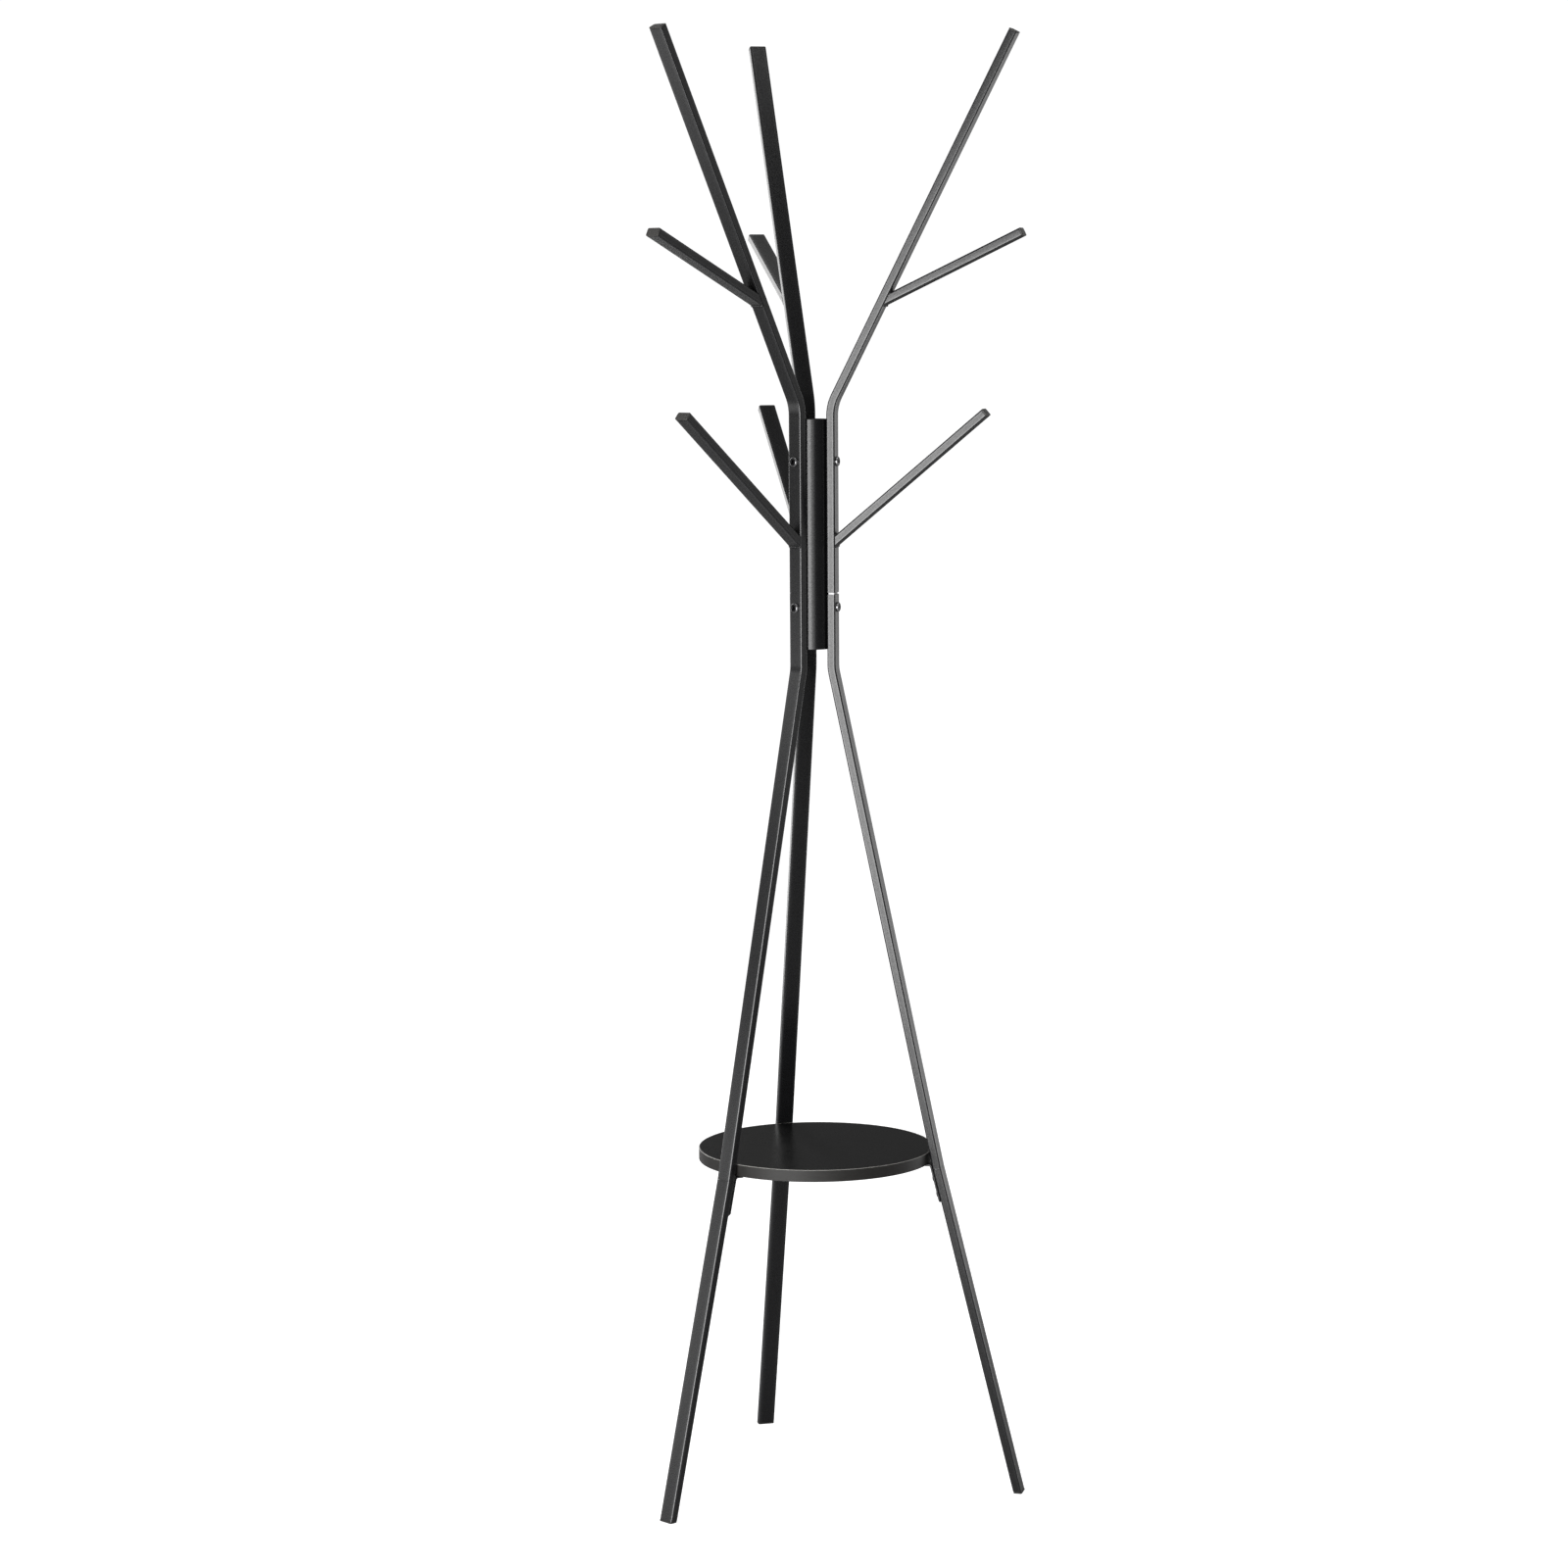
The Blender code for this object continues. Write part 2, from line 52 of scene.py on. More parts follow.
class Wire:
    """A node's output in an expression: arithmetic on values adds the Math nodes it needs."""

    def __init__(self, bench, socket):
        self.bench = bench
        self.socket = socket

    def math(self, operation, *others):
        values = {i: value for i, value in enumerate((self, *others))}
        return self.bench.put("ShaderNodeMath", {"operation": operation}, values)

    def __add__(self, other):
        return self.math("ADD", other)

    def __sub__(self, other):
        return self.math("SUBTRACT", other)

    def __mul__(self, other):
        return self.math("MULTIPLY", other)

    def __truediv__(self, other):
        return self.math("DIVIDE", other)

    def __pow__(self, other):
        return self.math("POWER", other)

    def __rsub__(self, other):
        return self.bench.put("ShaderNodeMath", {"operation": "SUBTRACT"}, {0: other, 1: self})

    def __gt__(self, other):
        return self.math("GREATER_THAN", other)

    __radd__ = __add__
    __rmul__ = __mul__

    def over(self, low, high):
        """Smooth step from 0 at low to 1 at high."""
        return self.bench.put("ShaderNodeMapRange", {"interpolation_type": "SMOOTHSTEP"},
                              {"Value": self, "From Min": low, "From Max": high})


class Bench:
    """A node tree being wired. put() adds any node: its type, its settings, then its sockets."""

    def __init__(self, tree):
        self.tree = tree

    def put(self, kind, settings=None, values=None, out=0):
        node = self.tree.nodes.new(kind)
        for key, value in (settings or {}).items():
            setattr(node, key, value)
        for key, value in (values or {}).items():
            if isinstance(value, Wire):
                self.tree.links.new(value.socket, node.inputs[key])
            else:
                node.inputs[key].default_value = value
        self.node = node
        return Wire(self, node.outputs[out]) if len(node.outputs) else None


def finish_bench(name):
    """New material's bench, its Object coordinates and a shader() that takes the last sockets."""
    mat = bpy.data.materials.new(name)
    mat.use_nodes = True
    mat.node_tree.nodes.clear()
    bench = Bench(mat.node_tree)
    place = bench.put("ShaderNodeTexCoord", out="Object")

    def shader(values):
        surface = bench.put("ShaderNodeBsdfPrincipled", {}, values)
        bench.put("ShaderNodeOutputMaterial", {}, {"Surface": surface})
        return mat

    return bench, place, shader


def noise(bench, place, scale, detail=2.0, roughness=0.5):
    return bench.put("ShaderNodeTexNoise", {"noise_dimensions": "3D"},
                     {"Vector": place, "Scale": scale, "Detail": detail, "Roughness": roughness})


def tint(bench, factor, dark, light):
    return bench.put("ShaderNodeMix", {"data_type": "RGBA"},
                     {0: factor, 6: (*dark, 1.0), 7: (*light, 1.0)}, out=2)


def powder_coat():
    """Baked satin black powder: fine grain, a faint orange peel, thinner and shinier on edges."""
    bench, place, shader = finish_bench("powder_coated_steel")
    grain = noise(bench, place, 900.0, 3.0, 0.6)
    peel = noise(bench, place, 260.0, 1.0)
    cloud = noise(bench, place, 7.0, 3.0)
    edge = bench.put("ShaderNodeAttribute", {"attribute_name": "edge"}, out="Fac") ** 6.0
    worn = edge * noise(bench, place, 60.0, 2.0).over(0.05, 0.75)
    speck = bench.put("ShaderNodeTexVoronoi", {"feature": "F1"},
                      {"Vector": place, "Scale": 85.0, "Randomness": 1.0})
    speck = (1.0 - speck.over(0.03, 0.06)) * (noise(bench, place, 31.0, 0.0) > 0.62)
    colour = tint(bench, grain * 0.5 + cloud * 0.35 + worn * 0.55 + speck * 0.6,
                  (0.0018, 0.0018, 0.0020), (0.0130, 0.0130, 0.0140))
    rough = 0.19 + grain * 0.13 + cloud * 0.05 - worn * 0.05
    relief = (grain - 0.5) * 0.55 + (peel - 0.5) * 0.45 + speck * 0.25
    bump = bench.put("ShaderNodeBump", {}, {
        "Strength": 0.22, "Distance": 0.00022, "Height": relief * (1.0 - edge * 0.85)})
    gloss = (grain * 0.6 + noise(bench, place, 560.0, 1.0) * 0.6).over(0.40, 0.80)
    return shader({"Base Color": colour, "Roughness": rough, "Normal": bump,
                   "Coat Weight": gloss * 0.30 + edge * 0.45, "Coat Roughness": 0.24,
                   "Specular IOR Level": 0.42})


POWDER = powder_coat()


def skin(name, rings, ends):
    """Mesh over rings of equal count. ends: "loop" for a wall that closes on itself, or "caps"."""
    bm = bmesh.new()
    loops = [[bm.verts.new(p) for p in ring] for ring in rings]
    pairs = list(zip(loops, loops[1:]))
    if ends == "loop":
        pairs.append((loops[-1], loops[0]))
    for a, b in pairs:
        for i in range(len(a)):
            j = (i + 1) % len(a)
            bm.faces.new((a[i], a[j], b[j], b[i]))
    if ends == "caps":
        bm.faces.new(loops[0])
        bm.faces.new(loops[-1])
    bmesh.ops.recalc_face_normals(bm, faces=bm.faces)
    mesh = bpy.data.meshes.new(name)
    bm.to_mesh(mesh)
    bm.free()
    return mesh


def circle(radius, z, sides):
    return [(radius * math.cos(2 * math.pi * i / sides),
             radius * math.sin(2 * math.pi * i / sides), z) for i in range(sides)]


def evaluated(obj):
    """Plain mesh of the object with its modifiers in it; the object is removed."""
    bpy.context.view_layer.update()
    graph = bpy.context.evaluated_depsgraph_get()
    mesh = bpy.data.meshes.new_from_object(obj.evaluated_get(graph))
    bpy.data.objects.remove(obj, do_unlink=True)
    return mesh


def placed(name, mesh):
    obj = bpy.data.objects.new(name, mesh)
    bpy.context.scene.collection.objects.link(obj)
    return obj


def fit(name, mesh, mat, cad_nodes=(), angle=32.0):
    """The finished piece: even flats, its finish, and the CAD nodes it stands for."""
    mesh.shade_smooth()
    mesh.set_sharp_from_angle(angle=math.radians(angle))
    mesh.materials.clear()
    mesh.materials.append(mat)
    draft = placed(name, mesh)
    weight = draft.modifiers.new("flats", "WEIGHTED_NORMAL")
    weight.keep_sharp = True
    weight.weight = 50
    mesh = evaluated(draft)
    mesh.name = name
    obj = placed(name, mesh)
    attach(obj, "root")
    if cad_nodes:
        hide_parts(*cad_nodes)


def rounded_wall(outer, inner, bottom, top, edge, steps=3):
    """Closed (radius, z) outline of a tube wall, or of a band, with broken corners."""
    corners = [(outer - edge, bottom + edge, -90), (outer - edge, top - edge, 0),
               (inner + edge, top - edge, 90), (inner + edge, bottom + edge, 180)]
    line = []
    for r, z, start in corners:
        for i in range(steps + 1):
            a = math.radians(start + 90.0 * i / steps)
            line.append((r + edge * math.cos(a), z + edge * math.sin(a)))
    return line


outline = rounded_wall(SPINE_R, SPINE_R - SPINE_WALL, *SPINE_ENDS, RIM_BREAK)
mesh = skin("centre_tube", [circle(r, z, 128) for r, z in outline], "loop")
mesh.transform(Matrix.Translation((0.0, AXIS_Y, 0.0)))
mesh.attributes.new("edge", "FLOAT", "POINT")
fit("round_tube", mesh, POWDER, ["centre_tube"])

# ---- Branches --------------------------------------------------------------------------------
# Flat oval-cornered steel tube, 20 x 10 x 1.5 mm, bent once on a 50 mm radius so that it leans
# out from the centre tube. Each stands on the leg below it and is held by one bolt.
ARMS = {"left": 210.0, "right": 330.0, "rear": 90.0}
BAR_W = 20.0 * MM
BAR_D = 10.0 * MM
BAR_CORNER = 2.0 * MM
BAR_WALL = 1.5 * MM
BAR_X = SPINE_R + GAP + BAR_D / 2
BEND_R = 50.0 * MM
JOINT_Z = 1060.0 * MM
BRANCH_BEND_Z = 1277.0 * MM
BRANCH_LEAN = math.radians(27.0)
BRANCH_TOP_Z = 1697.5 * MM


def socket_of(tree, name, kind, start=None):
    """Named input of a Geometry Nodes tree."""
    item = tree.interface.new_socket(name=name, in_out="INPUT", socket_type="NodeSocket" + kind)
    if start is not None:
        item.default_value = start
    return item.identifier


def flat_tube_tree():
    """Sweeps a rectangle with rounded corners along the path; 'edge' is 1 on the corners."""
    tree = bpy.data.node_groups.new("flat_tube", "GeometryNodeTree")
    inputs = {"Geometry": socket_of(tree, "Geometry", "Geometry"),
              "Across": socket_of(tree, "Across", "Vector"),
              "Width": socket_of(tree, "Width", "Float", BAR_W),
              "Depth": socket_of(tree, "Depth", "Float", BAR_D),
              "Corner": socket_of(tree, "Corner", "Float", BAR_CORNER),
              "Corner Steps": socket_of(tree, "Corner Steps", "Int", 5),
              "Closed Ends": socket_of(tree, "Closed Ends", "Bool", False),
              "Finish": socket_of(tree, "Finish", "Material")}
    tree.interface.new_socket(name="Geometry", in_out="OUTPUT", socket_type="NodeSocketGeometry")
    bench = Bench(tree)
    bench.put("NodeGroupInput")
    given = {s.name: Wire(bench, s) for s in bench.node.outputs if s.name}
    path = bench.put("GeometryNodeMeshToCurve", {}, {"Mesh": given["Geometry"]})
    path = bench.put("GeometryNodeSetCurveNormal", {"mode": "FREE"},
                     {"Curve": path, "Normal": given["Across"]})
    outline = bench.put("GeometryNodeCurvePrimitiveQuadrilateral", {"mode": "RECTANGLE"},
                        {"Width": given["Width"], "Height": given["Depth"]})
    outline = bench.put("GeometryNodeSubdivideCurve", {}, {"Curve": outline, "Cuts": 1})
    bench.put("ShaderNodeSeparateXYZ", {}, {0: bench.put("GeometryNodeInputPosition")})
    across, deep = (Wire(bench, s) for s in bench.node.outputs[:2])
    corner = ((across.math("ABSOLUTE") > given["Width"] * 0.3)
              * (deep.math("ABSOLUTE") > given["Depth"] * 0.24))
    outline = bench.put("GeometryNodeStoreNamedAttribute",
                        {"data_type": "FLOAT", "domain": "POINT"},
                        {"Geometry": outline, "Name": "edge", "Value": corner})
    outline = bench.put("GeometryNodeFilletCurve", {"mode": "POLY"},
                        {"Curve": outline, "Count": given["Corner Steps"],
                         "Radius": given["Corner"] * corner, "Limit Radius": True})
    tube = bench.put("GeometryNodeCurveToMesh", {},
                     {"Curve": path, "Profile Curve": outline, "Fill Caps": given["Closed Ends"]})
    tube = bench.put("GeometryNodeMergeByDistance", {}, {"Geometry": tube, "Distance": 1e-6})
    tube = bench.put("GeometryNodeRealizeInstances", {}, {"Geometry": tube})
    tube = bench.put("GeometryNodeSetMaterial", {},
                     {"Geometry": tube, "Material": given["Finish"]})
    bench.put("NodeGroupOutput", {}, {"Geometry": tube})
    return tree, inputs


FLAT_TUBE = flat_tube_tree()


def grown(name, base, tree_and_inputs, **given):
    """Mesh that a Geometry Nodes tree makes from a base mesh, with its inputs set by name."""
    tree, inputs = tree_and_inputs
    obj = placed(name, base)
    modifier = obj.modifiers.new("make", "NODES")
    modifier.node_group = tree
    for key, value in given.items():
        modifier[inputs[key.replace("_", " ")]] = value
    return evaluated(obj)


def arm_matrix(arm):
    """An arm's frame: x runs outward from the tube's axis, y across the arm, z up."""
    return Matrix.Translation((0.0, AXIS_Y, 0.0)) @ Matrix.Rotation(
        math.radians(ARMS[arm]), 4, "Z")


def line_mesh(name, points, matrix, cyclic=False):
    mesh = bpy.data.meshes.new(name)
    edges = [(i, i + 1) for i in range(len(points) - 1)]
    if cyclic:
        edges.append((len(points) - 1, 0))
    mesh.from_pydata([matrix @ Vector(p) for p in points], edges, [])
    return mesh


def flat_tube(name, line, arm, cuts=()):
    """Hollow flat tube on a line of (x, z) points; cuts are (point, outward normal) planes."""
    matrix = arm_matrix(arm)
    across = matrix.to_3x3() @ Vector((0.0, 1.0, 0.0))
    path = line_mesh(name, [(x, 0.0, z) for x, z in line], matrix)
    mesh = grown(name, path, FLAT_TUBE, Across=across, Width=BAR_W, Depth=BAR_D,
                 Corner=BAR_CORNER, Corner_Steps=5, Finish=POWDER)
    bm = bmesh.new()
    bm.from_mesh(mesh)
    bmesh.ops.recalc_face_normals(bm, faces=bm.faces)
    x, z = (Vector(line[-1]) + Vector(line[-2])) / 2
    heart = matrix @ Vector((x, 0.0, z))
    face = min(bm.faces, key=lambda f: (f.calc_center_median() - heart).length)
    if face.normal.dot(face.calc_center_median() - heart) < 0:
        bmesh.ops.reverse_faces(bm, faces=bm.faces)
    for point, normal in cuts:
        bmesh.ops.bisect_plane(
            bm, geom=bm.verts[:] + bm.edges[:] + bm.faces[:], dist=1e-7,
            plane_co=matrix @ Vector((point[0], 0.0, point[1])),
            plane_no=matrix.to_3x3() @ Vector((normal[0], 0.0, normal[1])), clear_outer=True)
    bm.to_mesh(mesh)
    bm.free()
    obj = placed(name, mesh)
    wall = obj.modifiers.new("wall", "SOLIDIFY")
    wall.thickness = BAR_WALL
    wall.offset = -1.0
    wall.use_even_offset = True
    return evaluated(obj)


def bend(z, lean, steps=20):
    """Points round the bend between upright and lean, whose straight runs cross at z."""
    back = BEND_R * math.tan(abs(lean) / 2)
    side = 1 if lean > 0 else -1
    angles = [abs(lean) * i / steps for i in range(steps + 1)]
    return [(BAR_X + BEND_R * (1 - math.cos(a)), z - side * (back - BEND_R * math.sin(a)))
            for a in angles]


def branch_x(z):
    return BAR_X + (z - BRANCH_BEND_Z) * math.tan(BRANCH_LEAN)


for arm in ARMS:
    line = [(BAR_X, JOINT_Z)] + bend(BRANCH_BEND_Z, BRANCH_LEAN)
    line.append((branch_x(BRANCH_TOP_Z), BRANCH_TOP_Z))
    fit("branch_tube_" + arm, flat_tube("branch", line, arm), POWDER,
        ["branch_" + arm])

# ---- Upper legs ------------------------------------------------------------------------------
# The same flat tube, bent once the other way, from the joint under each branch down to the knee
# just below the shelf. The joint stands open by a hair to a couple of millimetres.
JOINT_OPEN = {"left": 0.4 * MM, "right": 2.2 * MM, "rear": 1.0 * MM}
LEG_BEND_Z = 971.0 * MM
LEG_LEAN = math.radians(12.0)
KNEE_Z = 385.0 * MM
KNEE_GAP = 0.25 * MM
FOOT_LEAN = math.radians(14.1)


def leg_x(z):
    """Centre line of the upper leg down to the knee, and of the lower leg under it."""
    x = BAR_X + (LEG_BEND_Z - max(z, KNEE_Z)) * math.tan(LEG_LEAN)
    return x + max(KNEE_Z - z, 0.0) * math.tan(FOOT_LEAN)


for arm in ARMS:
    line = [(BAR_X, JOINT_Z - JOINT_OPEN[arm])] + bend(LEG_BEND_Z, -LEG_LEAN)
    line.append((leg_x(KNEE_Z) - KNEE_GAP * math.tan(LEG_LEAN), KNEE_Z + KNEE_GAP))
    fit("leg_tube_" + arm, flat_tube("leg", line, arm), POWDER,
        ["leg_upper_" + arm])

# ---- Lower legs ------------------------------------------------------------------------------
# Straight lengths of the same tube. The top is cut square at the knee, the foot level with the
# floor, a plug's thickness above it.
FLANGE = 2.0 * MM
SAW_OVERRUN = 20.0 * MM

for arm in ARMS:
    line = [(leg_x(KNEE_Z - KNEE_GAP), KNEE_Z - KNEE_GAP), (leg_x(-SAW_OVERRUN), -SAW_OVERRUN)]
    mesh = flat_tube("shin", line, arm, [((0.0, FLANGE + GAP), (0.0, -1.0))])
    fit("shin_tube_" + arm, mesh, POWDER, ["leg_lower_" + arm])

# ---- Bars inside the joints ------------------------------------------------------------------
# Zinc plated flat bars pushed into the tubes, one across each branch joint and one in each knee.
# Only a bright sliver of the upper one shows where a joint stands open.


def zinc_plate():
    """Bright zinc: brushed along the bar, clouded, with a few dull spots."""
    bench, place, shader = finish_bench("zinc_plated_steel")
    along = bench.put("ShaderNodeMapping", {}, {"Vector": place, "Scale": (1.0, 1.0, 0.06)})
    brush = noise(bench, along, 2200.0, 3.0)
    cloud = noise(bench, place, 60.0, 3.0)
    dull = noise(bench, place, 190.0, 2.0).over(0.58, 0.72)
    colour = tint(bench, cloud * 0.6 + brush * 0.4 - dull * 0.3,
                  (0.07, 0.07, 0.069), (0.24, 0.24, 0.243))
    bump = bench.put("ShaderNodeBump", {}, {"Strength": 0.2, "Distance": 0.0001, "Height": brush})
    return shader({"Base Color": colour, "Metallic": 1.0, "Normal": bump,
                   "Roughness": 0.22 + brush * 0.16 + dull * 0.2})


ZINC = zinc_plate()
for arm in ARMS:
    for kind in ("arm_insert_", "leg_insert_", "branch_nut_", "leg_nut_"):
        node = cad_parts[kind + arm]
        node.data.materials.clear()
        node.data.materials.append(ZINC)

# ---- Hooks -----------------------------------------------------------------------------------
# Six straight pieces of the same tube, three high on the branches and three lower down. Each
# root is mitred to lie flat on its branch's outer face, and is welded there before coating.
HOOKS = {
    "upper": (1394.6 * MM, math.radians(64.5), 181.0 * MM, BRANCH_LEAN),
    "lower": (1116.0 * MM, math.radians(50.0), 236.0 * MM, 0.0),
}


def hook_x(z, base):
    """Where a hook's line starts: on the centre line of its branch, which leans by base there."""
    return branch_x(z) if base else BAR_X


for level, (z, lean, length, base) in HOOKS.items():
    x = hook_x(z, base)
    out = (math.cos(base), -math.sin(base))
    seat = (x + out[0] * (BAR_D / 2 + GAP), z + out[1] * (BAR_D / 2 + GAP))
    line = [(x + s * math.sin(lean), z + s * math.cos(lean)) for s in (-SAW_OVERRUN, length)]
    for arm in ARMS:
        mesh = flat_tube("hook", line, arm, [(seat, (-out[0], -out[1]))])
        fit(f"{level}_hook_tube_{arm}", mesh, POWDER,
            [f"{level}_hook_{arm}"])

# ---- Weld beads ------------------------------------------------------------------------------
# A small rippled fillet runs round each hook's root, thicker above and below the hook and nearly
# flush on its sides, where it was dressed. It is coated together with the tubes.
BEAD_R = 1.35 * MM
BEAD_PITCH = 1.5 * MM
BEAD_IN_ENDS = 0.1 * MM
BEAD_IN_SIDES = 0.9 * MM


def bead_tree():
    """Rippled bead along a closed path: its radius swells at every pass of the torch."""
    tree = bpy.data.node_groups.new("weld_bead", "GeometryNodeTree")
    inputs = {"Geometry": socket_of(tree, "Geometry", "Geometry"),
              "Radius": socket_of(tree, "Radius", "Float", BEAD_R),
              "Pitch": socket_of(tree, "Pitch", "Float", BEAD_PITCH),
              "Seed": socket_of(tree, "Seed", "Int", 3),
              "Finish": socket_of(tree, "Finish", "Material")}
    tree.interface.new_socket(name="Geometry", in_out="OUTPUT", socket_type="NodeSocketGeometry")
    bench = Bench(tree)
    bench.put("NodeGroupInput")
    given = {s.name: Wire(bench, s) for s in bench.node.outputs if s.name}
    path = bench.put("GeometryNodeMeshToCurve", {}, {"Mesh": given["Geometry"]})
    path = bench.put("GeometryNodeResampleCurve", {"mode": "LENGTH"},
                     {"Curve": path, "Length": 0.35 * MM})
    heavy = bench.put("GeometryNodeInputNamedAttribute", {"data_type": "FLOAT"},
                      {"Name": "heavy"})
    length = bench.put("GeometryNodeSplineParameter", out="Length")
    ripple = (length * (2 * math.pi) / given["Pitch"]).math("SINE") * 0.13
    unsteady = bench.put("ShaderNodeTexNoise", {"noise_dimensions": "1D"},
                         {"W": length * 260.0 + given["Seed"] * 7.3, "Scale": 1.0, "Detail": 1.0})
    radius = given["Radius"] * heavy * (ripple + unsteady * 0.7 + 0.65)
    ring = bench.put("GeometryNodeCurvePrimitiveCircle", {"mode": "RADIUS"},
                     {"Resolution": 10, "Radius": 1.0})
    bead = bench.put("GeometryNodeCurveToMesh", {},
                     {"Curve": path, "Profile Curve": ring, "Scale": radius})
    bead = bench.put("GeometryNodeRealizeInstances", {}, {"Geometry": bead})
    bead = bench.put("GeometryNodeSetMaterial", {},
                     {"Geometry": bead, "Material": given["Finish"]})
    bench.put("NodeGroupOutput", {}, {"Geometry": bead})
    return tree, inputs


BEAD = bead_tree()
for number, (level, (z, lean, length, base)) in enumerate(HOOKS.items()):
    x = hook_x(z, base)
    out = Vector((math.cos(base), 0.0, -math.sin(base)))
    up = Vector((math.sin(base), 0.0, math.cos(base)))
    seat = Vector((x, 0.0, z)) + out * (BAR_D / 2 + GAP / 2)
    turn = lean - base
    middle = seat + up * (BAR_D / 2 / math.tan(turn))
    high = BAR_D / 2 / math.sin(turn)
    loop, heavy = [], []
    for quarter in range(4):
        cy = (BAR_W / 2 - BAR_CORNER) * (1 if quarter in (0, 3) else -1)
        cz = (high - BAR_CORNER) * (1 if quarter in (0, 1) else -1)
        for i in range(5):
            a = math.pi / 2 * (quarter + i / 4)
            ey, ez = math.cos(a), math.sin(a)
            loop.append(middle + up * (cz + (BAR_CORNER - BEAD_IN_ENDS) * ez)
                        + Vector((0.0, cy + (BAR_CORNER - BEAD_IN_SIDES) * ey, 0.0)))
            heavy.append(0.42 + 0.58 * abs(ez) ** 2)
    for arm in ARMS:
        path = line_mesh("bead", loop, arm_matrix(arm), cyclic=True)
        path.attributes.new("heavy", "FLOAT", "POINT").data.foreach_set("value", heavy)
        mesh = grown("bead", path, BEAD, Radius=BEAD_R, Pitch=BEAD_PITCH,
                     Seed=number * 3 + list(ARMS).index(arm), Finish=POWDER)
        bm = bmesh.new()
        bm.from_mesh(mesh)
        bmesh.ops.remove_doubles(bm, verts=bm.verts, dist=1e-6)
        bmesh.ops.recalc_face_normals(bm, faces=bm.faces)
        bm.to_mesh(mesh)
        bm.free()
        fit(f"{level}_weld_bead_{arm}", mesh, POWDER, angle=80.0)

# ---- End plugs -------------------------------------------------------------------------------
# Moulded black polyethylene plugs pushed into the open ends of branches and hooks: a thin flange
# with a soft rim covers the cut tube, the ribbed stub inside holds it.
STUB = 12.0 * MM
STUB_W = BAR_W - 2 * BAR_WALL - 2 * GAP
STUB_D = BAR_D - 2 * BAR_WALL - 2 * GAP
PLUG_RIM = 0.68 * MM


def moulded_plastic():
    """Soft satin black plastic with a fine spark-eroded grain and a cloudy flow in its tone."""
    bench, place, shader = finish_bench("plug_plastic")
    grain = noise(bench, place, 1500.0, 2.0)
    flow = noise(bench, place, 90.0, 2.0)
    colour = tint(bench, grain * 0.4 + flow * 0.6, (0.020, 0.019, 0.018), (0.052, 0.050, 0.047))
    bump = bench.put("ShaderNodeBump", {}, {"Strength": 0.25, "Distance": 0.0002, "Height": grain})
    return shader({"Base Color": colour, "Roughness": 0.42 + flow * 0.18, "Normal": bump})


PLASTIC = moulded_plastic()


def bar_ring(width, depth, corner, z, shift=0.0, steps=5):
    """Rounded rectangle, width along x and depth along y, at height z."""
    ring = []
    for quarter in range(4):
        cx = (width / 2 - corner) * (1 if quarter in (0, 3) else -1)
        cy = (depth / 2 - corner) * (1 if quarter in (0, 1) else -1)
        for i in range(steps + 1):
            a = math.pi / 2 * (quarter + i / steps)
            ring.append((cx + corner * math.cos(a), cy + shift + corner * math.sin(a), z))
    return ring


def plug_mesh(name, depth, low, lean, stub):
    """Flange from low to low + FLANGE on the plug's own z, with rounded rims, and its stub
    running back from there to low - stub; lean slants the stub."""
    rings = []
    for i in range(4):
        a = math.pi / 2 * i / 3
        inset = PLUG_RIM * (1 - math.sin(a))
        rings.append(bar_ring(BAR_W - 2 * inset, depth - 2 * inset, BAR_CORNER - inset,
                              low + FLANGE - PLUG_RIM + PLUG_RIM * math.cos(a)))
    for i in range(4):
        a = math.pi / 2 * (1 - i / 3)
        inset = PLUG_RIM * 0.5 * (1 - math.sin(a))
        rings.append(bar_ring(BAR_W - 2 * inset, depth - 2 * inset, BAR_CORNER - inset,
                              low + PLUG_RIM * 0.5 - PLUG_RIM * 0.5 * math.cos(a)))
    rings.append(bar_ring(STUB_W, STUB_D, 0.5 * MM, low))
    shift = stub * math.tan(lean)
    rings.append(bar_ring(STUB_W, STUB_D, 0.5 * MM, low - stub + 0.8 * MM, shift))
    rings.append(bar_ring(STUB_W - 1.2 * MM, STUB_D - 1.2 * MM, 0.3 * MM, low - stub, shift))
    return skin(name, rings, "caps")


